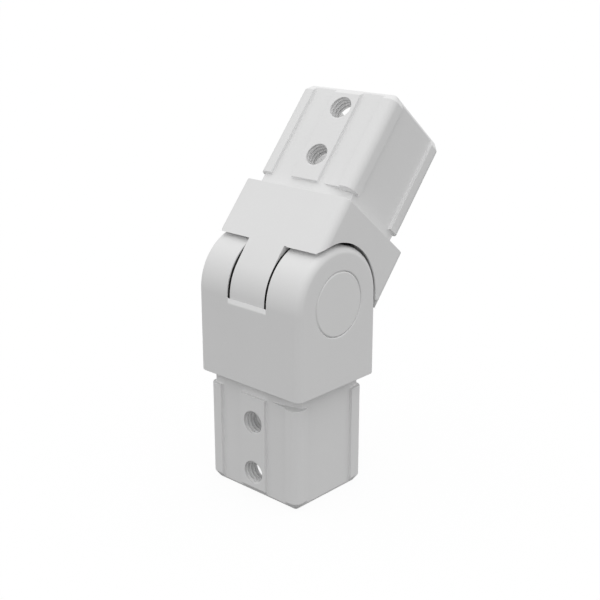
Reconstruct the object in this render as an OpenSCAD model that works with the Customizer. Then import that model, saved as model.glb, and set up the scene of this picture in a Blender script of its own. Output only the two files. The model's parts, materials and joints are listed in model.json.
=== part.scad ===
// Swivel rail joiner: two hollow rail spigots on a fork and tongue knuckle.
// The lower casting is the fork and the upper casting carries the tongue.
// Origin: centre of the lower rail's stop shoulder. +Z runs up the lower rail,
// +X runs along the hinge axis and -Y is the face that the set screws enter.

/* [Knuckle] */
// Width of the knuckle along the hinge axis
knuckle_w = 40; // [34:1:60]
// Depth of the knuckle, square to the hinge axis
knuckle_d = 33; // [30:1:44]
// Distance from the hinge axis to each rail's stop shoulder
shoulder_h = 25; // [24:0.5:36]
// Radius of the knuckle's upright corners and of the ears' rims
corner_r = 2.2; // [1:0.1:3.5]
// Fold of the upper arm away from straight, as the joiner is shown
fold_deg = 40; // [0:1:41]

/* [Fork and tongue] */
// Side gap between the tongue and each ear, filled by a friction washer
side_gap = 0.5; // [0.4:0.1:1.5]
// How far the tongue's round end lies below the knuckle's front face
tongue_relief = 0.3; // [0.25:0.05:0.6]
// Running gap between the tongue's round end and the slot's floor
floor_gap = 0.2; // [0.1:0.05:0.25]
// Height above the axis at which the tongue's front leaves the flat face
tongue_flat_h = 4.6; // [3:0.2:6]
// Angle behind upright at which the tongue's root ends
tongue_back = 42; // [20:1:44]
// Drop from the axis to the top edge of the slot's thin front lip
lip_drop = 0.2; // [0.1:0.1:2]
// Mean gap between the ears' arches and the hollowed cheeks over them
cheek_gap = 0.9; // [0.8:0.05:1.5]
// How far the cheeks' hollow lies in front of the hinge axis, which widens the
// gap at the front and narrows it at the back
cheek_shift = 0.55; // [0:0.05:0.55]
// Height above the axis at which the cheeks' back feet end
cheek_foot = 6.8; // [6:0.1:9]
// Fold at which the cheeks' back feet meet the fork's back face
fold_stop = 41; // [41:0.5:44]
// Clearance left between the back feet and the fork at that fold
stop_gap = 0.05; // [0.02:0.01:0.3]

/* [Rail spigots] */
// Width of the spigot across its corner ribs
spigot_w = 35.2; // [30:0.1:40]
// Depth of the spigot across its corner ribs
spigot_d = 29; // [25:0.1:32]
// Length of the spigot from the stop shoulder to its open end
spigot_l = 35; // [30:1:80]
// How far the spigot's centre lies in front of the knuckle's centre
spigot_shift = 0.5; // [0:0.05:0.8]
// Height of the plain neck between the shoulder and the ribs
neck_h = 3.8; // [2:0.1:6]
// How far the ribs and the screw pad stand proud of the core
rib_proud = 1; // [0.6:0.1:1.5]
// Reach of each corner rib along the spigot's wide faces
rib_wide = 4.6; // [3:0.1:7]
// Reach of each corner rib along the spigot's narrow faces
rib_narrow = 5; // [3:0.1:7]
// Radius of the ribs round the spigot's corners
rib_r = 2.4; // [2:0.1:4]
// Length of the lead-in taper at the spigot's open end
lead_in = 1.2; // [0.6:0.1:3]
// Wall of the hollow core
wall = 3.2; // [2.4:0.1:4]
// Radius inside the hollow's corners
hollow_r = 1.5; // [0.5:0.1:3]
// Metal left between a spigot's hollow and the knuckle
web = 4; // [3:0.5:5]
// Where the neck's relief flat starts, sideways from the spigot's middle
relief_x = 6.7; // [3:0.1:10]
// Depth of the neck's relief flat at the spigot's corner
relief_depth = 2.5; // [1:0.1:3]

/* [Set screw holes] */
// Width of the raised pad that carries the set screws
pad_w = 10; // [9:0.5:14]
// Radius of the tapped hole's crest, for an M8 set screw
screw_hole_r = 3.4; // [2.5:0.1:4]
// Distance from the stop shoulder to the first set screw
first_screw = 12; // [9:0.5:16]
// Distance between the two set screws
screw_pitch = 16; // [12:0.5:20]

/* [Pivot] */
// Diameter of the pivot sleeve
sleeve_od = 9; // [8:0.1:10]
// Bore of the pivot sleeve
sleeve_id = 6.4; // [6.2:0.1:7]
// Radial running clearance between the sleeve and the tongue's bushes
sleeve_run = 0.05; // [0.02:0.01:0.1]
// Outer diameter of the tongue's bushes
bush_od = 12; // [11.5:0.5:14]
// Space left between the two bushes
bush_space = 0.4; // [0.2:0.1:2]
// End play of the pivot sleeve between the two plain washers
sleeve_play = 0.4; // [0.2:0.1:0.8]
// How far the friction washers' rims lie below the tongue's round end
friction_inset = 0.2; // [0.2:0.1:4]
// Clearance on each face of a friction washer
friction_play = 0.05; // [0.02:0.01:0.1]
// Thickness of the ear's web that the pivot screw clamps
ear_web = 2.75; // [2:0.25:3.5]

/* [Pivot screw and nut] */
// Diameter of the pivot screw
screw_d = 6; // [5:0.5:6]
// Length of the pivot screw's end that shows past the nut
screw_past = 0.2; // [0:0.1:0.4]
// Diameter of the pivot screw's head
head_d = 10; // [9:0.5:12]
// Height of the pivot screw's head
head_h = 6; // [4:0.5:6]
// Room between the screw's head and the inside of the cap
head_room = 0.7; // [0.5:0.1:2]
// Width across the flats of the head's socket
socket_af = 5; // [4:0.5:6]
// Depth of the head's socket
socket_h = 3; // [2:0.5:4]
// Diameter of the plain washers
washer_d = 12; // [11:0.5:14]
// Thickness of the plain washers
washer_t = 1.6; // [1:0.1:1.8]
// Width across the flats of the lock nut
nut_af = 10; // [9:0.5:11]
// Height of the lock nut
nut_h = 6; // [5:0.5:6]
// Diameter of the locking ring in the nut
ring_d = 8.2; // [7.5:0.1:8.6]
// Height of the locking ring
ring_h = 1.6; // [1:0.1:2]
// Radial clearance between pieces that are pushed or screwed together
fit_gap = 0.03; // [0.02:0.01:0.05]

/* [Caps] */
// Diameter of the two caps that close the pivot's pockets
cap_d = 19; // [17.5:0.5:22]
// Depth of a cap, from its face to the end of its skirt
cap_h = 5; // [3.5:0.5:6]
// Thickness of a cap's face
cap_face = 1.4; // [1:0.1:1.6]
// Thickness of a cap's skirt
cap_skirt = 1.2; // [0.8:0.1:1.6]
// Bevel round the edge of a cap's face
cap_bevel = 0.4; // [0.2:0.1:0.6]
// Bevel round the mouth of the pocket that the cap sits in
pocket_bevel = 0.2; // [0.1:0.1:0.5]
// Diameter of the inner pocket round the screw's head or the nut
pocket_d = 15; // [14.5:0.5:16]

/* [Hidden] */
$fn = 96;
// Overshoot of a cutting shape past the face that it opens
past = 1;
// Sides of a hexagon
hex = 6;
half_w = knuckle_w / 2;
// The ears' arches run into the front and back faces without a step
ear_r = knuckle_d / 2;
// The ears are as thick as the pivot's parts that lie in each of them
ear_w = ear_web + washer_t + head_h + head_room + cap_face;
slot_w = knuckle_w - 2 * ear_w;
tongue_w = slot_w - 2 * side_gap;
tongue_r = ear_r - tongue_relief;
floor_r = tongue_r + floor_gap;
cheek_r = ear_r + cheek_gap;
// Angle below level at which the tongue's front meets its round end
flat_reach = norm([ear_r, tongue_flat_h]);
flat_turn = acos(tongue_r / flat_reach) - atan(tongue_flat_h / ear_r);
core_w = spigot_w - 2 * rib_proud;
core_d = spigot_d - 2 * rib_proud;
core_r = rib_r - rib_proud;
spigot_end = shoulder_h + spigot_l;
rib_start = shoulder_h + neck_h;
friction_t = side_gap - 2 * friction_play;
pocket_floor = slot_w / 2 + ear_web;
head_seat = pocket_floor + washer_t;
screw_l = 2 * head_seat + nut_h + screw_past;
cap_seat = half_w - cap_h;
sleeve_l = 2 * pocket_floor - sleeve_play;
bush_l = (tongue_w - bush_space) / 2;

// Puts a shape that is drawn round the hinge axis in its place on the part
module at_hinge() {
    translate([0, 0, shoulder_h]) children();
}

// The same, turned with the folded upper arm
module on_upper_arm() {
    at_hinge() rotate([-fold_deg, 0, 0]) children();
}

// The same, turned upside down for the lower arm
module on_lower_arm() {
    at_hinge() mirror([0, 0, 1]) children();
}

// Turns a shape drawn along +Z so that it runs along +X
module along_x() {
    rotate([0, 90, 0]) children();
}

// A round bar or bore along X, from x0 to x1
module bar_x(r, x0, x1, sides = $fn) {
    translate([x0, 0, 0]) along_x() cylinder(h = x1 - x0, r = r, $fn = sides);
}

// A cutter that opens a bevel outwards from radius r, past the face at x0 + bevel
module cone_x(r, bevel, x0) {
    reach = bevel + past;
    translate([x0, 0, 0]) along_x() cylinder(h = reach, r1 = r, r2 = r + reach);
}

// A ring along X, from x0 to x1
module ring_x(outer_r, inner_r, x0, x1) {
    difference() {
        bar_x(outer_r, x0, x1);
        bar_x(inner_r, x0 - past, x1 + past);
    }
}

// An outline in the YZ plane, thickened along X and centred on it
module plate_x(width) {
    translate([-width / 2, 0, 0]) rotate([90, 0, 90]) linear_extrude(width) children();
}

// A rectangle with round corners, centred
module rounded_rect(w, d, r) {
    square([w - 2 * r, d], center = true);
    square([w, d - 2 * r], center = true);
    for (x = [-1, 1], y = [-1, 1])
        translate([x * (w / 2 - r), y * (d / 2 - r)]) circle(r = r);
}

module rounded_prism(w, d, r, z0, z1) {
    translate([0, 0, z0]) linear_extrude(z1 - z0) rounded_rect(w, d, r);
}

// A rounded prism whose sides taper in by inset over its height
module tapered_prism(w, d, r, z0, h, inset) {
    run_w = w - 2 * r;
    run_d = d - 2 * r;
    translate([0, 0, z0]) {
        translate([0, run_d / 2, 0]) rotate([90, 0, 0]) linear_extrude(run_d)
            polygon([[-w / 2, 0], [w / 2, 0], [w / 2 - inset, h], [inset - w / 2, h]]);
        translate([-run_w / 2, 0, 0]) rotate([90, 0, 90]) linear_extrude(run_w)
            polygon([[-d / 2, 0], [d / 2, 0], [d / 2 - inset, h], [inset - d / 2, h]]);
        for (x = [-1, 1], y = [-1, 1])
            translate([x * run_w / 2, y * run_d / 2, 0])
                cylinder(h = h, r1 = r, r2 = r - inset);
    }
}

// The space that the ribs and the pad fill: a full-size block with a lead-in
module rib_envelope() {
    taper_start = spigot_end - lead_in;
    rounded_prism(spigot_w, spigot_d, rib_r, rib_start, taper_start);
    tapered_prism(spigot_w, spigot_d, rib_r, taper_start, lead_in, rib_proud);
}

// Where the envelope is kept: round the four corners, and along the front pad
module rib_zones() {
    rib_run = spigot_end - rib_start;
    for (x = [-1, 1], y = [-1, 1])
        translate([x * (spigot_w - rib_wide) / 2, y * (spigot_d - rib_narrow) / 2,
            rib_start + rib_run / 2])
            cube([rib_wide, rib_narrow, rib_run], center = true);
    translate([-pad_w / 2, -spigot_d / 2, rib_start])
        cube([pad_w, rib_proud + wall / 2, rib_run]);
}

// The flat that eases one front corner of the neck, seen from above
module neck_relief() {
    translate([0, 0, shoulder_h]) linear_extrude(neck_h)
        polygon([
            [relief_x, -core_d / 2],
            [relief_x, -core_d / 2 - past],
            [core_w / 2 + past, -core_d / 2 - past],
            [core_w / 2 + past, relief_depth - core_d / 2],
            [core_w / 2, relief_depth - core_d / 2]]);
}

// One hollow spigot pointing up, with its root on the shoulder
module spigot() {
    translate([0, -spigot_shift, 0]) {
        difference() {
            rounded_prism(core_w, core_d, core_r, shoulder_h - past, spigot_end);
            neck_relief();
        }
        intersection() {
            rib_envelope();
            rib_zones();
        }
    }
}

// The spigot's hollow, from hollow_start above the hinge axis to the open end
module spigot_hollow(hollow_start) {
    translate([0, -spigot_shift, 0])
        rounded_prism(core_w - 2 * wall, core_d - 2 * wall, hollow_r, hollow_start,
            spigot_end + past);
}

// The tapped holes through the front pad, drawn at the thread's crest
module set_screw_holes() {
    for (n = [0, 1])
        translate([0, -spigot_shift, shoulder_h + first_screw + n * screw_pitch])
            rotate([90, 0, 0]) cylinder(h = spigot_d, r = screw_hole_r);
}

// The ears' arch: half of a wide wheel whose rims are rounded
module ear_arch() {
    along_x() rotate([0, 0, 90]) rotate_extrude(angle = 180) intersection() {
        rounded_rect(2 * ear_r, knuckle_w, corner_r);
        translate([0, -half_w]) square([ear_r, knuckle_w]);
    }
}

// The slot between the ears, with its round floor and a thin lip in front
module fork_slot() {
    bar_x(floor_r, -slot_w / 2, slot_w / 2);
    translate([-slot_w / 2, -knuckle_d, -lip_drop])
        cube([slot_w, 2 * knuckle_d, 2 * knuckle_d]);
}

// One ear's stepped pocket and bore, on the +X side
module ear_pocket() {
    mouth_r = cap_d / 2 + fit_gap;
    bar_x(mouth_r, cap_seat, half_w + past);
    cone_x(mouth_r, pocket_bevel, half_w - pocket_bevel);
    bar_x(pocket_d / 2, pocket_floor, half_w);
    bar_x(sleeve_od / 2 + fit_gap, 0, half_w);
}

module lower_body() {
    color("gainsboro") difference() {
        union() {
            at_hinge() ear_arch();
            on_lower_arm() rounded_prism(knuckle_w, knuckle_d, corner_r, 0, shoulder_h);
            on_lower_arm() spigot();
        }
        at_hinge() fork_slot();
        at_hinge() ear_pocket();
        at_hinge() mirror([1, 0, 0]) ear_pocket();
        on_lower_arm() spigot_hollow(floor_r + web);
        on_lower_arm() set_screw_holes();
    }
}

// The room round the ears that is cut from the head, and the flats inside the
// back feet that lie on the fork when the joint is folded all the way
module cheek_hollow() {
    translate([0, -cheek_shift, 0]) bar_x(cheek_r, -knuckle_w, knuckle_w);
    translate([-knuckle_w, -knuckle_d, -past])
        cube([2 * knuckle_w, 2 * knuckle_d, past + cheek_foot]);
    rotate([fold_stop, 0, 0]) translate([-knuckle_w, 0, -knuckle_d])
        cube([2 * knuckle_w, ear_r + stop_gap, knuckle_d]);
}

// Side view of the tongue: flat front, eased below, and a round end. At the
// back only the round end is left, so that it swings clear of the slot's lip.
module tongue_outline() {
    root_r = cheek_r + web;
    circle(r = tongue_r);
    polygon([
        [0, 0],
        [-tongue_r * cos(flat_turn), -tongue_r * sin(flat_turn)],
        [-ear_r, tongue_flat_h],
        [-ear_r, cheek_r],
        [0, root_r],
        [root_r * sin(tongue_back), root_r * cos(tongue_back)]]);
}

module upper_body() {
    color("whitesmoke") on_upper_arm() difference() {
        union() {
            difference() {
                rounded_prism(knuckle_w, knuckle_d, corner_r, 0, shoulder_h);
                cheek_hollow();
            }
            plate_x(tongue_w) tongue_outline();
            spigot();
        }
        bar_x(bush_od / 2 + fit_gap, -tongue_w, tongue_w);
        spigot_hollow(cheek_r + web);
        set_screw_holes();
    }
}

module pivot_sleeve() {
    color("silver") at_hinge() ring_x(sleeve_od / 2, sleeve_id / 2, -sleeve_l / 2, sleeve_l / 2);
}

// One half of the tongue's lining, on the +X side
module tongue_bush() {
    ring_x(bush_od / 2, sleeve_od / 2 + sleeve_run, tongue_w / 2 - bush_l, tongue_w / 2);
}

module tongue_bush_right() {
    color("dimgray") at_hinge() tongue_bush();
}

module tongue_bush_left() {
    color("dimgray") at_hinge() mirror([1, 0, 0]) tongue_bush();
}

// The washer that rubs between the tongue and the +X ear
module friction_washer() {
    washer_start = tongue_w / 2 + friction_play;
    ring_x(tongue_r - friction_inset, sleeve_od / 2 + sleeve_run, washer_start,
        washer_start + friction_t);
}

module friction_washer_right() {
    color("darkslategray") at_hinge() friction_washer();
}

module friction_washer_left() {
    color("darkslategray") at_hinge() mirror([1, 0, 0]) friction_washer();
}

module pivot_screw() {
    color("silver") at_hinge() {
        bar_x(screw_d / 2, head_seat - screw_l, head_seat + past);
        difference() {
            bar_x(head_d / 2, head_seat, head_seat + head_h);
            bar_x(socket_af / 2 / cos(180 / hex), head_seat + head_h - socket_h,
                head_seat + head_h + past, hex);
        }
    }
}

// A plain washer on the floor of the +X ear's pocket, bored like the sleeve
module plain_washer() {
    ring_x(washer_d / 2, sleeve_id / 2, pocket_floor, head_seat);
}

module screw_washer() {
    color("silver") at_hinge() plain_washer();
}

module nut_washer() {
    color("silver") at_hinge() mirror([1, 0, 0]) plain_washer();
}

module lock_nut() {
    nut_end = head_seat + nut_h;
    color("silver") at_hinge() mirror([1, 0, 0]) difference() {
        union() {
            bar_x(nut_af / 2 / cos(180 / hex), head_seat, nut_end - ring_h, hex);
            bar_x(nut_af / 2, head_seat, nut_end);
        }
        bar_x(screw_d / 2 + fit_gap, head_seat - past, nut_end);
        bar_x(ring_d / 2 + fit_gap, nut_end - ring_h, nut_end + past);
    }
}

module nut_lock_ring() {
    ring_end = head_seat + nut_h;
    color("royalblue") at_hinge() mirror([1, 0, 0])
        ring_x(ring_d / 2, screw_d / 2 + fit_gap, ring_end - ring_h, ring_end);
}

// A push-in cap for the +X ear, with a bevelled face and a skirt
module cap() {
    cap_r = cap_d / 2;
    difference() {
        union() {
            bar_x(cap_r, cap_seat, half_w - cap_bevel);
            translate([half_w - cap_bevel, 0, 0]) along_x()
                cylinder(h = cap_bevel, r1 = cap_r, r2 = cap_r - cap_bevel);
        }
        bar_x(cap_r - cap_skirt, cap_seat - past, half_w - cap_face);
    }
}

module cap_right() {
    color("gainsboro") at_hinge() cap();
}

module cap_left() {
    color("gainsboro") at_hinge() mirror([1, 0, 0]) cap();
}

lower_body();
upper_body();
pivot_sleeve();
tongue_bush_left();
tongue_bush_right();
friction_washer_left();
friction_washer_right();
pivot_screw();
screw_washer();
nut_washer();
lock_nut();
nut_lock_ring();
cap_left();
cap_right();
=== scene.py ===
import json
import math

import bmesh
import bpy
from mathutils import Matrix, Vector

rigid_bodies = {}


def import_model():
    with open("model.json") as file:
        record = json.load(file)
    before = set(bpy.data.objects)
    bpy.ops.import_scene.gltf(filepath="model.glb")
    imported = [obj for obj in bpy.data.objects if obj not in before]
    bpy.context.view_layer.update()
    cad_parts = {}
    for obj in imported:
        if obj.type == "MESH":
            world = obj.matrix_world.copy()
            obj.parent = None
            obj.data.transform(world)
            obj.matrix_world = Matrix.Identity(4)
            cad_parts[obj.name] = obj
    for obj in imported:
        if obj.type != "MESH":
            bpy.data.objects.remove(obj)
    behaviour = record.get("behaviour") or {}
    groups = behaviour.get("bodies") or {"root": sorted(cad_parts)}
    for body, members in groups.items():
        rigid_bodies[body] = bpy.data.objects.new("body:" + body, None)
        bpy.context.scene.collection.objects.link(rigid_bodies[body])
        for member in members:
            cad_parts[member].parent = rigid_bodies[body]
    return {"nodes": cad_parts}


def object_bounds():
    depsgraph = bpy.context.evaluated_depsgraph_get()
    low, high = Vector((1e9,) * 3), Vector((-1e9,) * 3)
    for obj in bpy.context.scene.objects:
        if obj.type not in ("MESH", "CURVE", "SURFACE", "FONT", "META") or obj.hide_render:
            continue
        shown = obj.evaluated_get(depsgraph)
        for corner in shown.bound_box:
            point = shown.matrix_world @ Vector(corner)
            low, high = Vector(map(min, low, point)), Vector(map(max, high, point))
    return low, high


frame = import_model()
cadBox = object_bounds()
cad = frame["nodes"]
print("frame loaded:", len(cad), "pieces")

# The upper arm folds about this axis, which runs along X
hinge = {
    "axisZ": 0.025,
    "foldDeg": 40.0,
    "shoulder": 0.025,
}

camera = {
    "azimuthDeg": 42.789,
    "elevationDeg": 18.245,
    "distance": 0.320842,
    "slideRight": 0.003773,
    "slideUp": -0.002929,
    "lensMm": 66.522,
    "sensorMm": 36.0,
    "nearest": 0.005,
    "farthest": 20.0,
}


def placeCamera(settings):
    azimuth = math.radians(settings["azimuthDeg"])
    elevation = math.radians(settings["elevationDeg"])
    right = Vector((math.cos(azimuth), math.sin(azimuth), 0))
    back = Vector((math.sin(azimuth) * math.cos(elevation),
                   -math.cos(azimuth) * math.cos(elevation), math.sin(elevation)))
    up = back.cross(right)
    data = bpy.data.cameras.new("photoCamera")
    data.lens = settings["lensMm"]
    data.sensor_width = settings["sensorMm"]
    data.clip_start = settings["nearest"]
    data.clip_end = settings["farthest"]
    made = bpy.data.objects.new("photoCamera", data)
    bpy.context.scene.collection.objects.link(made)
    place = (Vector((0, 0, hinge["axisZ"])) + back * settings["distance"]
             + right * settings["slideRight"] + up * settings["slideUp"])
    made.matrix_world = Matrix((
        (right.x, up.x, back.x, place.x), (right.y, up.y, back.y, place.y),
        (right.z, up.z, back.z, place.z), (0, 0, 0, 1)))
    bpy.context.scene.camera = made


placeCamera(camera)
print("camera placed")


def addNode(tree, kind, inputs=None, **values):
    made = tree.nodes.new(kind)
    for name, value in values.items():
        setattr(made, name, value)
    for name, value in (inputs or {}).items():
        if isinstance(value, bpy.types.NodeSocket):
            tree.links.new(value, made.inputs[name])
        else:
            made.inputs[name].default_value = value
    return made


def mathNode(tree, operation, first, second=0.0, third=0.0, clamp=False):
    made = addNode(tree, "ShaderNodeMath", operation=operation, use_clamp=clamp)
    for index, value in enumerate((first, second, third)):
        if isinstance(value, bpy.types.NodeSocket):
            tree.links.new(value, made.inputs[index])
        else:
            made.inputs[index].default_value = value
    return made.outputs[0]


def vectorNode(tree, operation, first, second=None, scale=None):
    made = addNode(tree, "ShaderNodeVectorMath", operation=operation)
    for index, value in enumerate((first, second)):
        if isinstance(value, bpy.types.NodeSocket):
            tree.links.new(value, made.inputs[index])
        elif value is not None:
            made.inputs[index].default_value = value
    if isinstance(scale, bpy.types.NodeSocket):
        tree.links.new(scale, made.inputs["Scale"])
    elif scale is not None:
        made.inputs["Scale"].default_value = scale
    return made.outputs["Value"] if operation == "DOT_PRODUCT" else made.outputs["Vector"]


def noiseNode(tree, place, size, detail=2.0, roughness=0.5):
    # size is the width of one blotch, in metres
    made = addNode(tree, "ShaderNodeTexNoise", {
        "Vector": place, "Scale": 1.0 / size, "Detail": detail, "Roughness": roughness})
    return made.outputs["Fac"]


def rangeNode(tree, value, low, high, toLow, toHigh, smooth=False):
    made = addNode(tree, "ShaderNodeMapRange", {
        "Value": value, "From Min": low, "From Max": high, "To Min": toLow, "To Max": toHigh})
    made.interpolation_type = "SMOOTHSTEP" if smooth else "LINEAR"
    return made.outputs["Result"]


# A noise texture mostly stays between these two values
noiseSpan = {
    "low": 0.3,
    "high": 0.7,
}


def driftNode(tree, noise, toLow, toHigh):
    return rangeNode(tree, noise, noiseSpan["low"], noiseSpan["high"], toLow, toHigh)


def hingeDistance(tree, parts):
    # how far a point lies from the hinge's axis
    rise = mathNode(tree, "SUBTRACT", parts.outputs["Z"], hinge["axisZ"])
    return mathNode(tree, "SQRT", mathNode(tree, "ADD", mathNode(
        tree, "MULTIPLY", rise, rise), mathNode(
        tree, "MULTIPLY", parts.outputs["Y"], parts.outputs["Y"])))


def seenRays(tree):
    # 1 for the rays that the camera sees by, straight or in a shiny or clear surface
    path = addNode(tree, "ShaderNodeLightPath")
    return mathNode(tree, "MAXIMUM", path.outputs["Is Camera Ray"], mathNode(
        tree, "MAXIMUM", path.outputs["Is Glossy Ray"], path.outputs["Is Transmission Ray"]))


def mixToOutput(tree, share, first, second, kind):
    mixed = addNode(tree, "ShaderNodeMixShader", {"Fac": share})
    tree.links.new(first.outputs[0], mixed.inputs[1])
    tree.links.new(second.outputs[0], mixed.inputs[2])
    tree.links.new(mixed.outputs[0], addNode(tree, kind).inputs["Surface"])


def newMaterial(name):
    made = bpy.data.materials.new(name)
    made.use_nodes = True
    made.node_tree.nodes.clear()
    return made, made.node_tree


def greyShade(tree, base, tint, shade):
    # base colour times a grey value that a texture gives
    made = addNode(tree, "ShaderNodeMix", data_type="RGBA", blend_type="MULTIPLY")
    made.inputs[0].default_value = 1.0
    made.inputs[6].default_value = (*[base * part for part in tint], 1.0)
    tree.links.new(shade, made.inputs[7])
    return made.outputs[2]


# What the coat and the plastics have in common
coatTexture = {
    "edgeFlat": 0.995,
    "edgeTurned": 0.80,
    "edgeSamples": 4,
    "edgeWear": 0.01,
    "toneDetail": 3.0,
    "speckDetail": 3.0,
    "speckRoughness": 0.7,
    "peelDetail": 1.0,
    "grainDetail": 2.0,
    "grainRoughness": 0.6,
    "roughDrift": 0.04,
    "roughBlotches": 4,
}

# White powder coat on the two castings: fine orange peel, a thinner and slightly
# smoother coat along the edges, and a very faint drift in tone
powderCoat = {
    "base": 0.80,
    "tint": (1.0, 1.0, 1.0),
    "roughness": 0.62,
    "specular": 0.3,
    "peelSize": 0.0011,
    "peelDepth": 0.000004,
    "grainSize": 0.00018,
    "grainDepth": 0.0000012,
    "toneSize": 0.022,
    "toneDrift": 0.018,
    "speckSize": 0.0006,
    "speckDrift": 0.012,
    "edgeReach": 0.0003,
    "edgeShine": 0.10,
}

# The thin lip under the tongue is shaded as if its front were rounded over: its normals lean
# upwards, and its colour is painted lighter there as a painted highlight
slotLip = {
    "halfWidth": 0.00755,
    "front": -0.0163,
    "fadeFrom": 0.0230,
    "fadeTo": 0.0237,
    "top": 0.0250,
    "lean": 0.8,
    "paintedBrightening": 0.19,
    "edge": 0.0248,
    "reach": 0.0003,
    "slack": 1.01,
}

# Painted shade: the side faces in the narrow gaps beside the tongue are painted nearly black, as
# the shade in those gaps
paintedGapShade = {
    "from": 0.0062,
    "to": 0.0083,
    "radius": 0.0161,
    "turn": 0.35,
    "shade": 0.03,
}


def bendLipWithPaintedHighlight(tree, place, lip, normal, wearAndPaintedLight):
    parts = addNode(tree, "ShaderNodeSeparateXYZ", {"Vector": place})
    sideways = mathNode(tree, "ABSOLUTE", parts.outputs["X"])
    inSlot = mathNode(tree, "LESS_THAN", sideways, lip["halfWidth"])
    inFront = mathNode(tree, "LESS_THAN", parts.outputs["Y"], lip["front"])
    below = mathNode(tree, "LESS_THAN", parts.outputs["Z"], lip["top"])
    height = rangeNode(tree, parts.outputs["Z"], lip["fadeFrom"], lip["fadeTo"],
                       0.0, lip["lean"], smooth=True)
    amount = mathNode(tree, "MULTIPLY", mathNode(tree, "MULTIPLY", inSlot, inFront),
                      mathNode(tree, "MULTIPLY", below, height))
    upward = vectorNode(tree, "SCALE", (0.0, 0.0, 1.0), scale=amount)
    normal = vectorNode(tree, "NORMALIZE", vectorNode(tree, "ADD", normal, upward))
    # painted highlight: the lip's colour is made up to a fifth lighter where its normals lean up
    paintedHighlight = mathNode(tree, "MULTIPLY_ADD", amount, lip["paintedBrightening"] / lip["lean"], 1.0)
    return normal, mathNode(tree, "MULTIPLY", wearAndPaintedLight, paintedHighlight)


def paintGapShade(tree, place, trueNormal, gapShade, wearAndPaintedLight):
    parts = addNode(tree, "ShaderNodeSeparateXYZ", {"Vector": place})
    sideways = mathNode(tree, "ABSOLUTE", parts.outputs["X"])
    turned = mathNode(tree, "ABSOLUTE", vectorNode(
        tree, "DOT_PRODUCT", trueNormal, (1.0, 0.0, 0.0)))
    onFace = mathNode(tree, "MULTIPLY", mathNode(
        tree, "GREATER_THAN", sideways, gapShade["from"]), mathNode(
        tree, "LESS_THAN", sideways, gapShade["to"]))
    inGap = mathNode(tree, "MULTIPLY", mathNode(
        tree, "GREATER_THAN", turned, gapShade["turn"]), mathNode(
        tree, "LESS_THAN", hingeDistance(tree, parts), gapShade["radius"]))
    # painted shade: side faces deep in the gaps beside the tongue get a near-black colour
    shadedGapFaces = mathNode(tree, "MULTIPLY", onFace, inGap)
    return mathNode(tree, "MULTIPLY", wearAndPaintedLight, mathNode(
        tree, "MULTIPLY_ADD", shadedGapFaces, gapShade["shade"] - 1.0, 1.0))


def coatMaterial(name, settings, lip=None, gapShade=None):
    material, tree = newMaterial(name)
    common = coatTexture
    place = addNode(tree, "ShaderNodeTexCoord").outputs["Object"]
    trueNormal = addNode(tree, "ShaderNodeNewGeometry").outputs["Normal"]
    rounded = addNode(tree, "ShaderNodeBevel", {"Radius": settings["edgeReach"]},
                      samples=common["edgeSamples"])
    facing = vectorNode(tree, "DOT_PRODUCT", rounded.outputs["Normal"], trueNormal)
    edge = rangeNode(tree, facing, common["edgeFlat"], common["edgeTurned"], 0.0, 1.0)
    tone = driftNode(tree, noiseNode(tree, place, settings["toneSize"], common["toneDetail"]),
                     1.0 - settings["toneDrift"], 1.0)
    speck = driftNode(tree, noiseNode(tree, place, settings["speckSize"], common["speckDetail"],
                                      common["speckRoughness"]),
                      1.0 - settings["speckDrift"], 1.0)
    shade = mathNode(tree, "MULTIPLY", tone, speck)
    wearAndPaintedLight = mathNode(tree, "MULTIPLY_ADD", edge, common["edgeWear"], shade)
    blotch = noiseNode(tree, place, settings["speckSize"] * common["roughBlotches"])
    rough = driftNode(tree, blotch, settings["roughness"] - common["roughDrift"],
                      settings["roughness"] + common["roughDrift"])
    rough = mathNode(tree, "MULTIPLY_ADD", edge, -settings["edgeShine"], rough)
    peel = addNode(tree, "ShaderNodeBump", {
        "Height": noiseNode(tree, place, settings["peelSize"], common["peelDetail"]),
        "Distance": settings["peelDepth"], "Strength": 1.0})
    grain = addNode(tree, "ShaderNodeBump", {
        "Height": noiseNode(tree, place, settings["grainSize"], common["grainDetail"],
                            common["grainRoughness"]),
        "Distance": settings["grainDepth"], "Strength": 1.0,
        "Normal": peel.outputs["Normal"]})
    normal = grain.outputs["Normal"]
    # painted light on the castings: a painted highlight on the slot's lip and painted shade in the
    # gaps beside the tongue
    if lip:
        normal, wearAndPaintedLight = bendLipWithPaintedHighlight(tree, place, lip, normal, wearAndPaintedLight)
    if gapShade:
        wearAndPaintedLight = paintGapShade(tree, place, trueNormal, gapShade, wearAndPaintedLight)
    shader = addNode(tree, "ShaderNodeBsdfPrincipled", {
        "Base Color": greyShade(tree, settings["base"], settings["tint"], wearAndPaintedLight),
        "Roughness": rough, "Normal": normal})
    shader.inputs["Specular IOR Level"].default_value = settings["specular"]
    output = addNode(tree, "ShaderNodeOutputMaterial")
    tree.links.new(shader.outputs[0], output.inputs["Surface"])
    return material


# The caps are moulded from white plastic with a fine spark-eroded grain
capPlastic = {
    "base": 0.80,
    "tint": (1.0, 1.0, 0.998),
    "roughness": 0.55,
    "specular": 0.35,
    "peelSize": 0.0005,
    "peelDepth": 0.0000025,
    "grainSize": 0.00012,
    "grainDepth": 0.000001,
    "toneSize": 0.012,
    "toneDrift": 0.012,
    "speckSize": 0.0004,
    "speckDrift": 0.01,
    "edgeReach": 0.0002,
    "edgeShine": 0.08,
}

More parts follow.
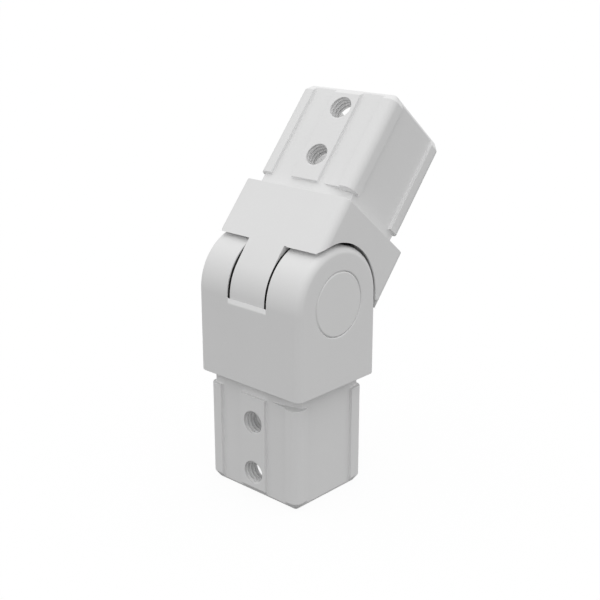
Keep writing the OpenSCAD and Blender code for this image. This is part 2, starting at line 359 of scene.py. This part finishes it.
blackPlastic = dict(capPlastic, base=0.012, roughness=0.6, toneDrift=0.25, speckDrift=0.3)
bushPlastic = dict(capPlastic, base=0.03, roughness=0.45, toneDrift=0.2, speckDrift=0.2)
ringNylon = dict(capPlastic, base=0.5, tint=(0.08, 0.2, 0.85), roughness=0.4)

# Zinc-plated steel of the screw, nut, washers and sleeve, with rings left by turning
turnedSteel = {
    "colour": (0.60, 0.60, 0.62),
    "roughness": 0.32,
    "ringPitch": 0.00012,
    "ringDepth": 0.0000015,
    "blotchSize": 0.003,
    "blotchDrift": 0.12,
    "blotchDetail": 4.0,
    "blotchRoughness": 0.6,
    "smoother": 0.06,
    "rougher": 0.08,
}


def steelMaterial(name, settings):
    material, tree = newMaterial(name)
    place = addNode(tree, "ShaderNodeTexCoord").outputs["Object"]
    parts = addNode(tree, "ShaderNodeSeparateXYZ", {"Vector": place})
    blotch = noiseNode(tree, place, settings["blotchSize"], settings["blotchDetail"],
                       settings["blotchRoughness"])
    shade = driftNode(tree, blotch, 1.0 - settings["blotchDrift"], 1.0)
    turns = mathNode(tree, "SINE", mathNode(
        tree, "MULTIPLY", parts.outputs["X"], 2 * math.pi / settings["ringPitch"]))
    bump = addNode(tree, "ShaderNodeBump", {
        "Height": turns, "Distance": settings["ringDepth"], "Strength": 1.0})
    shader = addNode(tree, "ShaderNodeBsdfPrincipled", {
        "Base Color": greyShade(tree, 1.0, settings["colour"], shade), "Metallic": 1.0,
        "Roughness": driftNode(tree, blotch, settings["roughness"] - settings["smoother"],
                               settings["roughness"] + settings["rougher"]),
        "Normal": bump.outputs["Normal"]})
    output = addNode(tree, "ShaderNodeOutputMaterial")
    tree.links.new(shader.outputs[0], output.inputs["Surface"])
    return material


# Both castings' coats carry painted shade in the gaps beside the tongue; the lower one also has a
# painted highlight on the slot's lip
forkCoat = coatMaterial("forkCoat", powderCoat, lip=slotLip, gapShade=paintedGapShade)
armCoat = coatMaterial("armCoat", powderCoat, gapShade=paintedGapShade)
capWhite = coatMaterial("capWhite", capPlastic)
frictionBlack = coatMaterial("frictionBlack", blackPlastic)
bushBlack = coatMaterial("bushBlack", bushPlastic)
ringBlue = coatMaterial("ringBlue", ringNylon)
plainSteel = steelMaterial("plainSteel", turnedSteel)

finishes = {
    "lower_body": forkCoat,
    "upper_body": armCoat,
    "cap_left": capWhite,
    "cap_right": capWhite,
    "friction_washer_left": frictionBlack,
    "friction_washer_right": frictionBlack,
    "tongue_bush_left": bushBlack,
    "tongue_bush_right": bushBlack,
    "nut_lock_ring": ringBlue,
    "pivot_sleeve": plainSteel,
    "pivot_screw": plainSteel,
    "screw_washer": plainSteel,
    "nut_washer": plainSteel,
    "lock_nut": plainSteel,
}

for nodeName, finish in finishes.items():
    materials = cad[nodeName].data.materials
    materials.clear()
    materials.append(finish)
print("finishes made")


# How the edges are found, rounded and shaded
edges = {
    "castingRound": 0.00018,
    "capRound": 0.00008,
    "segments": 2,
    "weld": 0.000001,
    "flatDeg": 0.3,
    "roundedDeg": 27.0,
    "crispDeg": 38.0,
    "thinness": 0.002,
    "thinLimit": 0.01,
    "faceWeight": 100,
}


def newGroup(name):
    # a node group that takes a mesh and gives one back
    group = bpy.data.node_groups.new(name, "GeometryNodeTree")
    for way in ("INPUT", "OUTPUT"):
        group.interface.new_socket("Geometry", in_out=way, socket_type="NodeSocketGeometry")
    return group, addNode(group, "NodeGroupInput").outputs[0]


def closeGroup(group, geometry):
    group.links.new(geometry, addNode(group, "NodeGroupOutput").inputs[0])
    return group


# Node group that joins a casting's faces and forgets their imported normals
def cleanGroup(distance):
    group, start = newGroup("joinFaces")
    forget = addNode(group, "GeometryNodeRemoveAttribute", {
        "Geometry": start, "Name": "custom_normal"})
    weld = addNode(group, "GeometryNodeMergeByDistance", {
        "Geometry": forget.outputs[0], "Distance": distance})
    return closeGroup(group, weld.outputs[0])


# Node group that shades smooth, with every edge sharper than the limit left crisp,
# apart from the edges of the very thin faces that a Boolean can leave
def smoothGroup(limitDeg, thinness, thinLimit):
    group, start = newGroup("crispEdges")
    angle = addNode(group, "GeometryNodeInputMeshEdgeAngle")
    sharp = addNode(group, "FunctionNodeCompare", operation="GREATER_THAN")
    group.links.new(angle.outputs["Unsigned Angle"], sharp.inputs[0])
    sharp.inputs[1].default_value = math.radians(limitDeg)
    ends = addNode(group, "GeometryNodeInputMeshEdgeVertices")
    length = addNode(group, "ShaderNodeVectorMath", operation="DISTANCE")
    group.links.new(ends.outputs["Position 1"], length.inputs[0])
    group.links.new(ends.outputs["Position 2"], length.inputs[1])
    side = addNode(group, "GeometryNodeFieldOnDomain", domain="FACE", data_type="FLOAT")
    group.links.new(length.outputs["Value"], side.inputs[0])
    area = addNode(group, "GeometryNodeInputMeshFaceArea").outputs[0]
    square = mathNode(group, "MULTIPLY", side.outputs[0], side.outputs[0])
    thin = addNode(group, "GeometryNodeFieldOnDomain", domain="FACE", data_type="FLOAT")
    group.links.new(mathNode(group, "LESS_THAN", area, mathNode(
        group, "MULTIPLY", square, thinness)), thin.inputs[0])
    full = mathNode(group, "LESS_THAN", thin.outputs[0], thinLimit)
    both = addNode(group, "FunctionNodeBooleanMath", operation="AND")
    group.links.new(sharp.outputs[0], both.inputs[0])
    group.links.new(full, both.inputs[1])
    faces = addNode(group, "GeometryNodeSetShadeSmooth", {
        "Geometry": start, "Shade Smooth": True}, domain="FACE")
    shaded = addNode(group, "GeometryNodeSetShadeSmooth", {
        "Geometry": faces.outputs[0], "Selection": both.outputs[0],
        "Shade Smooth": False}, domain="EDGE")
    return closeGroup(group, shaded.outputs[0])


# Node group that keeps a piece's rounded edges inside the box it had before them
def insideGroup(name, piece):
    low = [min(corner[axis] for corner in piece.bound_box) for axis in range(3)]
    high = [max(corner[axis] for corner in piece.bound_box) for axis in range(3)]
    group, start = newGroup(name)
    place = addNode(group, "GeometryNodeInputPosition")
    above = addNode(group, "ShaderNodeVectorMath", operation="MAXIMUM")
    group.links.new(place.outputs[0], above.inputs[0])
    above.inputs[1].default_value = low
    below = addNode(group, "ShaderNodeVectorMath", operation="MINIMUM")
    group.links.new(above.outputs[0], below.inputs[0])
    below.inputs[1].default_value = high
    moved = addNode(group, "GeometryNodeSetPosition", {
        "Geometry": start, "Position": below.outputs[0]})
    return closeGroup(group, moved.outputs[0])


# The edges round the cheeks' hollow are crisper than the others
cheekEdge = {
    "from": 0.0176,
    "near": 0.0155,
    "far": 0.0186,
    "share": 0.3,
}


# Node group that marks the edges to be rounded: all sharp ones but the slot's thin lip
def markGroup(limitDeg, lip, cheek):
    group, start = newGroup("markEdges")
    angle = addNode(group, "GeometryNodeInputMeshEdgeAngle").outputs["Unsigned Angle"]
    place = addNode(group, "GeometryNodeInputPosition").outputs["Position"]
    parts = addNode(group, "ShaderNodeSeparateXYZ", {"Vector": place})
    sharp = mathNode(group, "GREATER_THAN", angle, math.radians(limitDeg))
    sideways = mathNode(group, "ABSOLUTE", parts.outputs["X"])
    inSlot = mathNode(group, "LESS_THAN", sideways, lip["halfWidth"] * lip["slack"])
    inFront = mathNode(group, "LESS_THAN", parts.outputs["Y"], lip["front"])
    level = mathNode(group, "COMPARE", parts.outputs["Z"], lip["edge"], lip["reach"])
    onLip = mathNode(group, "MULTIPLY", level, mathNode(group, "MULTIPLY", inSlot, inFront))
    away = hingeDistance(group, parts)
    ring = mathNode(group, "MULTIPLY", mathNode(group, "GREATER_THAN", away, cheek["near"]),
                    mathNode(group, "LESS_THAN", away, cheek["far"]))
    onCheek = mathNode(group, "MULTIPLY", ring, mathNode(
        group, "GREATER_THAN", sideways, cheek["from"]))
    rounded = mathNode(group, "MULTIPLY", sharp, mathNode(
        group, "MULTIPLY_ADD", onCheek, cheek["share"] - 1.0, 1.0))
    mark = addNode(group, "GeometryNodeStoreNamedAttribute", {
        "Geometry": start, "Name": "bevel_weight_edge",
        "Value": mathNode(group, "SUBTRACT", rounded, onLip, clamp=True)},
        data_type="FLOAT", domain="EDGE")
    return closeGroup(group, mark.outputs[0])


joinFaces = cleanGroup(edges["weld"])
markEdges = markGroup(edges["roundedDeg"], slotLip, cheekEdge)
crispEdges = smoothGroup(edges["crispDeg"], edges["thinness"], edges["thinLimit"])

# M8 x 1.25 turns, cut into the bore that the casting already has
thread = {
    "pitch": 0.00125,
    "innerRadius": 0.0032,
    "rootRadius": 0.00403,
    "rootHalf": 0.00008,
    "flankDeg": 30.0,
    "stepsPerTurn": 40,
    "surface": 0.0150,
    "depth": 0.0054,
    "overrun": 0.0011,
    "firstScrew": 0.012,
    "secondScrew": 0.028,
}


def joinRings(mesh, rings, closed=False):
    # faces between each ring of corners and the next
    for first, second in zip(rings, rings[1:] + rings[:1] if closed else rings[1:]):
        for corner in range(len(first)):
            after = (corner + 1) % len(first)
            mesh.faces.new((first[corner], first[after], second[after], second[corner]))
    if not closed:
        mesh.faces.new(rings[0][::-1])
        mesh.faces.new(rings[-1])


def addThread(mesh, settings, place):
    # one helical cutter along +Y
    inner, root, half = settings["innerRadius"], settings["rootRadius"], settings["rootHalf"]
    innerHalf = half + (root - inner) * math.tan(math.radians(settings["flankDeg"]))
    profile = [(inner, -innerHalf), (root, -half), (root, half), (inner, innerHalf)]
    length = settings["depth"] + 2 * settings["overrun"]
    steps = int(length / settings["pitch"] * settings["stepsPerTurn"])
    rings = []
    for step in range(steps + 1):
        angle = 2 * math.pi * step / settings["stepsPerTurn"]
        along = settings["pitch"] * step / settings["stepsPerTurn"] - settings["overrun"]
        rings.append([mesh.verts.new(place @ Vector((
            radius * math.cos(angle), along + offset, radius * math.sin(angle))))
            for radius, offset in profile])
    joinRings(mesh, rings)


def hiddenShape(name, mesh, casting):
    # a shape for a Boolean modifier only, which moves with its casting
    bmesh.ops.recalc_face_normals(mesh, faces=mesh.faces)
    data = bpy.data.meshes.new(name)
    mesh.to_mesh(data)
    mesh.free()
    made = bpy.data.objects.new(name, data)
    bpy.context.scene.collection.objects.link(made)
    made.parent = casting.parent
    made.hide_render = True
    made.hide_viewport = True
    return made


def threadCutter(name, settings, armPlace, casting):
    mesh = bmesh.new()
    for distance in (settings["firstScrew"], settings["secondScrew"]):
        hole = Matrix.Translation((0, -settings["surface"], hinge["shoulder"] + distance))
        addThread(mesh, settings, armPlace @ hole)
    return hiddenShape(name, mesh, casting)


# Round bosses behind the tapped holes, inside each spigot
holeBoss = {
    "start": -0.0110,
    "end": -0.0096,
    "outerRadius": 0.0056,
    "innerRadius": 0.00346,
    "steps": 48,
}


def holeBosses(name, settings, armPlace, casting):
    inner, outer = settings["innerRadius"], settings["outerRadius"]
    start, end = settings["start"], settings["end"]
    profile = [(inner, start), (outer, start), (outer, end), (inner, end)]
    mesh = bmesh.new()
    for distance in (thread["firstScrew"], thread["secondScrew"]):
        hole = armPlace @ Matrix.Translation((0, 0, hinge["shoulder"] + distance))
        rings = []
        for step in range(settings["steps"]):
            angle = 2 * math.pi * step / settings["steps"]
            rings.append([mesh.verts.new(hole @ Vector((
                radius * math.cos(angle), y, radius * math.sin(angle))))
                for radius, y in profile])
        joinRings(mesh, rings, closed=True)
    return hiddenShape(name, mesh, casting)


# The spigots' open ends are chamfered all round
openEnd = {
    "length": 0.060,
    "halfWidth": 0.0166,
    "halfDepth": 0.0135,
    "shift": -0.0005,
    "cornerRadius": 0.0014,
    "inward": 0.0007,
    "along": 0.0009,
    "past": 0.00005,
    "outward": 0.0016,
    "stepsPerCorner": 8,
}


def endCutter(name, settings, armPlace, casting):
    # a frame with a wedge-shaped section
    slope = settings["along"] / settings["inward"]
    top = settings["length"] + settings["past"] * slope
    foot = settings["length"] - settings["along"] - settings["outward"] * slope
    wedge = [(-settings["inward"] - settings["past"], top), (settings["outward"], foot),
             (settings["outward"], top)]
    acrossX = settings["halfWidth"] - settings["cornerRadius"]
    acrossY = settings["halfDepth"] - settings["cornerRadius"]
    mesh = bmesh.new()
    rings = []
    for corner, (signX, signY) in enumerate(((1, 1), (-1, 1), (-1, -1), (1, -1))):
        for step in range(settings["stepsPerCorner"] + 1):
            angle = math.pi / 2 * (corner + step / settings["stepsPerCorner"])
            ring = []
            for offset, along in wedge:
                radius = settings["cornerRadius"] + offset
                x = signX * acrossX + radius * math.cos(angle)
                y = signY * acrossY + radius * math.sin(angle)
                ring.append(mesh.verts.new(armPlace @ Vector((x, y + settings["shift"], along))))
            rings.append(ring)
    joinRings(mesh, rings, closed=True)
    return hiddenShape(name, mesh, casting)


# A thin strip at the mouth of each cheek's hollow narrows the gap round the ears
# towards the back
cheekLip = {
    "radius": 0.0171,
    "back": -0.00144,
    "up": 0.00062,
    "fromDeg": -9.0,
    "toDeg": 88.0,
    "least": 0.0161,
    "outer": 0.0179,
    "thickness": 0.0006,
    "face": 0.020,
    "steps": 40,
}

# Fine reliefs beside the tongue, which widen the dark gaps that the photograph shows
gapRelief = {
    "tongueFrom": 0.0066,
    "tongueTo": 0.0075,
    "slotFrom": -0.00785,
    "slotTo": -0.00731,
    "radius": 0.01633,
    "lip": -0.00012,
    "reach": 0.019,
    "hollowRadius": 0.01744,
    "hollowShift": -0.00055,
    "hollowFoot": 0.00683,
    "side": 0.0172,
    "steps": 64,
}


def addPlate(mesh, outline, start, end):
    # an outline in the side view, drawn out along X
    rings = [[mesh.verts.new((x, y, z + hinge["axisZ"])) for y, z in outline]
             for x in (start, end)]
    mesh.faces.new(rings[0])
    mesh.faces.new(rings[1][::-1])
    for index in range(len(outline)):
        after = (index + 1) % len(outline)
        mesh.faces.new((rings[0][index], rings[0][after], rings[1][after], rings[1][index]))


def addStrip(mesh, inner, outer, start, end):
    # a band between two lines of the side view, drawn out along X
    corners = [[mesh.verts.new((x, y, z + hinge["axisZ"])) for x, (y, z) in (
        (start, near), (end, near), (end, far), (start, far))]
        for near, far in zip(inner, outer)]
    joinRings(mesh, corners)


def cheekLips(settings, casting):
    mesh = bmesh.new()
    inner = []
    outer = []
    for step in range(settings["steps"] + 1):
        angle = math.radians(settings["fromDeg"] + step / settings["steps"]
                             * (settings["toDeg"] - settings["fromDeg"]))
        across, rise = math.cos(angle), math.sin(angle)
        reach = (settings["radius"] + settings["back"] * across + settings["up"] * rise)
        reach = max(reach, settings["least"], settings["least"] / across if rise < 0 else 0.0)
        inner.append((reach * across, reach * rise))
        outer.append((settings["outer"] * across, settings["outer"] * rise))
    addStrip(mesh, inner, outer, settings["face"] - settings["thickness"], settings["face"])
    addStrip(mesh, inner, outer, -settings["face"], settings["thickness"] - settings["face"])
    return hiddenShape("cheekLips", mesh, casting)


def roundOutline(settings):
    # the slot's outline: round below its lip, open above
    outline = []
    for step in range(settings["steps"] + 1):
        angle = math.pi + math.pi * step / settings["steps"]
        outline.append((settings["radius"] * math.cos(angle),
                        settings["lip"] + settings["radius"] * math.sin(angle)))
    reach, lip = settings["reach"], settings["lip"]
    return outline + [(reach, lip), (reach, reach), (-reach, reach), (-reach, lip)]


def slotRelief(settings, casting):
    mesh = bmesh.new()
    addPlate(mesh, roundOutline(settings), settings["slotFrom"], settings["slotTo"])
    return hiddenShape("slotRelief", mesh, casting)


def tongueRelief(settings, casting):
    # as far up as the cheeks' hollow, whose outline is given in the upper arm's own frame
    turn = Matrix.Rotation(math.radians(-hinge["foldDeg"]), 3, "X")
    foot = settings["hollowFoot"]
    across = math.sqrt(settings["hollowRadius"] ** 2 - foot ** 2)
    first = math.atan2(foot, across)
    outline = [(settings["side"], foot), (settings["side"], -settings["side"]),
               (-settings["side"], -settings["side"]), (-settings["side"], foot)]
    for step in range(settings["steps"] + 1):
        angle = math.pi - first - (math.pi - 2 * first) * step / settings["steps"]
        outline.append((settings["hollowRadius"] * math.cos(angle) + settings["hollowShift"],
                        settings["hollowRadius"] * math.sin(angle)))
    turned = [turn @ Vector((0.0, y, z)) for y, z in outline]
    mesh = bmesh.new()
    addPlate(mesh, [(point.y, point.z) for point in turned],
             settings["tongueFrom"], settings["tongueTo"])
    return hiddenShape("tongueRelief", mesh, casting)


atHinge = Matrix.Translation((0, 0, hinge["axisZ"]))
lowerArm = atHinge @ Matrix.Scale(-1, 4, (0, 0, 1))
upperArm = atHinge @ Matrix.Rotation(math.radians(-hinge["foldDeg"]), 4, "X")

def addBoolean(piece, name, operation, shape):
    made = piece.modifiers.new(name, "BOOLEAN")
    made.operation = operation
    made.solver = "MANIFOLD"
    made.object = shape


def dressPiece(piece, roundness, threads=None, relief=None, lips=None, bosses=None, end=None):
    piece.modifiers.new("joinFaces", "NODES").node_group = joinFaces
    if bosses:
        addBoolean(piece, "bosses", "UNION", bosses)
    if lips:
        addBoolean(piece, "lips", "UNION", lips)
    if relief:
        addBoolean(piece, "relief", "DIFFERENCE", relief)
    if end:
        addBoolean(piece, "chamfer", "DIFFERENCE", end)
    flats = piece.modifiers.new("flats", "DECIMATE")
    flats.decimate_type = "DISSOLVE"
    flats.angle_limit = math.radians(edges["flatDeg"])
    piece.modifiers.new("markEdges", "NODES").node_group = markEdges
    rounding = piece.modifiers.new("rounding", "BEVEL")
    rounding.width = roundness
    rounding.segments = edges["segments"]
    rounding.limit_method = "WEIGHT"
    rounding.use_clamp_overlap = False
    piece.modifiers.new("inside", "NODES").node_group = insideGroup(piece.name + "Inside", piece)
    if threads:
        addBoolean(piece, "threads", "DIFFERENCE", threads)
    piece.modifiers.new("crispEdges", "NODES").node_group = crispEdges
    even = piece.modifiers.new("evenNormals", "WEIGHTED_NORMAL")
    even.keep_sharp = True
    even.weight = edges["faceWeight"]


dressPiece(cad["lower_body"], edges["castingRound"],
           threads=threadCutter("lowerThreads", thread, lowerArm, cad["lower_body"]),
           bosses=holeBosses("lowerBosses", holeBoss, lowerArm, cad["lower_body"]),
           end=endCutter("lowerEnd", openEnd, lowerArm, cad["lower_body"]),
           relief=slotRelief(gapRelief, cad["lower_body"]))
dressPiece(cad["upper_body"], edges["castingRound"],
           threads=threadCutter("upperThreads", thread, upperArm, cad["upper_body"]),
           bosses=holeBosses("upperBosses", holeBoss, upperArm, cad["upper_body"]),
           end=endCutter("upperEnd", openEnd, upperArm, cad["upper_body"]),
           relief=tongueRelief(gapRelief, cad["upper_body"]),
           lips=cheekLips(cheekLip, cad["upper_body"]))
for capName in ("cap_left", "cap_right"):
    dressPiece(cad[capName], edges["capRound"])
print("edges rounded and threads cut")


# Pale floor under the joiner. The camera sees it as white with a faint shadow
floor = {
    "size": 6.0,
    "white": 0.94,
    "shadowShare": 0.07,
    "below": 0.00001,
}


def makeFloor(settings):
    half = settings["size"] / 2
    level = cadBox[0].z - settings["below"]
    data = bpy.data.meshes.new("floor")
    data.from_pydata([(-half, -half, level), (half, -half, level), (half, half, level),
                      (-half, half, level)], [], [(0, 1, 2, 3)])
    made = bpy.data.objects.new("floor", data)
    bpy.context.scene.collection.objects.link(made)
    material, tree = newMaterial("paleFloor")
    plain = addNode(tree, "ShaderNodeBsdfDiffuse", {"Color": (
        settings["white"], settings["white"], settings["white"], 1.0)})
    glow = addNode(tree, "ShaderNodeEmission", {"Color": (1, 1, 1, 1), "Strength": 1.0})
    share = mathNode(tree, "MULTIPLY", seenRays(tree), 1.0 - settings["shadowShare"])
    mixToOutput(tree, share, plain, glow, "ShaderNodeOutputMaterial")
    data.materials.append(material)
    made.visible_diffuse = False


makeFloor(floor)

# Soft studio light from all round, brightest overhead and fading to nothing below
studio = {
    "level": 0.600,
    "rise": 0.73,
    "side": 0.03,
}


def lightStudio(settings):
    world = bpy.data.worlds.new("studio")
    bpy.context.scene.world = world
    world.use_nodes = True
    tree = world.node_tree
    tree.nodes.clear()
    direction = addNode(tree, "ShaderNodeTexCoord").outputs["Generated"]
    parts = addNode(tree, "ShaderNodeSeparateXYZ", {"Vector": direction})
    level = mathNode(tree, "MULTIPLY_ADD", parts.outputs["Z"], settings["rise"], settings["level"])
    level = mathNode(tree, "MULTIPLY_ADD", parts.outputs["X"], settings["side"], level)
    level = mathNode(tree, "MAXIMUM", level, 0.0)
    soft = addNode(tree, "ShaderNodeBackground", {"Color": (1, 1, 1, 1), "Strength": level})
    white = addNode(tree, "ShaderNodeBackground", {"Color": (1, 1, 1, 1), "Strength": 1.0})
    mixToOutput(tree, seenRays(tree), soft, white, "ShaderNodeOutputWorld")


lightStudio(studio)

# A faint lamp in each spigot's hollow lightens the inside of the tapped holes
hollowLamp = {
    "power": 0.0012,
    "softness": 0.004,
    "along": 0.045,
}


def lightHollow(name, settings, armPlace, casting):
    data = bpy.data.lights.new(name, "POINT")
    data.energy = settings["power"]
    data.shadow_soft_size = settings["softness"]
    made = bpy.data.objects.new(name, data)
    bpy.context.scene.collection.objects.link(made)
    made.parent = casting.parent
    made.matrix_world = Matrix.Translation(armPlace @ Vector((0, 0, settings["along"])))


lightHollow("lowerHollowLamp", hollowLamp, lowerArm, cad["lower_body"])
lightHollow("upperHollowLamp", hollowLamp, upperArm, cad["upper_body"])
bpy.context.scene.view_settings.view_transform = "Standard"
print("floor and light set")
